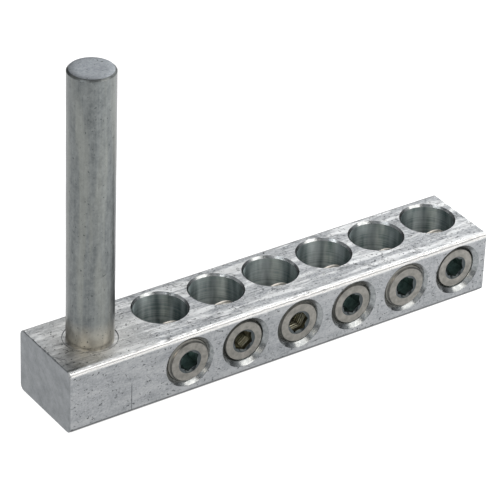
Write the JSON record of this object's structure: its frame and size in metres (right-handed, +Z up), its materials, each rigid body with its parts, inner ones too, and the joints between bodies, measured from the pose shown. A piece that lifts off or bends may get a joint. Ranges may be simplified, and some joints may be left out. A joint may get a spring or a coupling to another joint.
{
  "type": "three-phase busbar",
  "caption": "Aluminium busbar of one phase, with an upright round feed rod at one end and a row of bores from above, each with a hexagon-socket clamp screw from the front.",
  "frame": {"origin": "middle of the bar's underside", "axes": "+X along the bar away from the feed rod, -Y out of the face with the clamp screws, +Z up the rod"},
  "size_m": [0.1524, 0.0286, 0.1112],
  "materials": {
    "bar": "extruded, handled, with fine streaks and scratches",
    "rod": "drawn, dull grey with streaks along it",
    "clamp_screw_1": "turned faces with a broached socket",
    "clamp_screw_2": "turned faces with a broached socket",
    "clamp_screw_3": "turned faces with a broached socket",
    "clamp_screw_4": "turned faces with a broached socket",
    "clamp_screw_5": "turned faces with a broached socket",
    "clamp_screw_6": "turned faces with a broached socket"
  },
  "bodies": {
    "bar": {"bar": "bar", "rod": "rod"},
    "clamp_screw_1": {"clamp_screw_1": "clamp_screw_1"},
    "clamp_screw_2": {"clamp_screw_2": "clamp_screw_2"},
    "clamp_screw_3": {"clamp_screw_3": "clamp_screw_3"},
    "clamp_screw_4": {"clamp_screw_4": "clamp_screw_4"},
    "clamp_screw_5": {"clamp_screw_5": "clamp_screw_5"},
    "clamp_screw_6": {"clamp_screw_6": "clamp_screw_6"}
  },
  "joints": [
    {"name": "clamp_screw_1_travel", "type": "slide", "parent": "bar", "child": "clamp_screw_1", "axis": [0, 1, 0], "range_m": [-0.0055, 0.008]},
    {"name": "clamp_screw_2_travel", "type": "slide", "parent": "bar", "child": "clamp_screw_2", "axis": [0, 1, 0], "range_m": [-0.00645, 0.00705]},
    {"name": "clamp_screw_3_travel", "type": "slide", "parent": "bar", "child": "clamp_screw_3", "axis": [0, 1, 0], "range_m": [-0.00618, 0.00732]},
    {"name": "clamp_screw_4_travel", "type": "slide", "parent": "bar", "child": "clamp_screw_4", "axis": [0, 1, 0], "range_m": [-0.00622, 0.00728]},
    {"name": "clamp_screw_5_travel", "type": "slide", "parent": "bar", "child": "clamp_screw_5", "axis": [0, 1, 0], "range_m": [-0.00555, 0.00795]},
    {"name": "clamp_screw_6_travel", "type": "slide", "parent": "bar", "child": "clamp_screw_6", "axis": [0, 1, 0], "range_m": [-0.00655, 0.00695]}
  ]
}
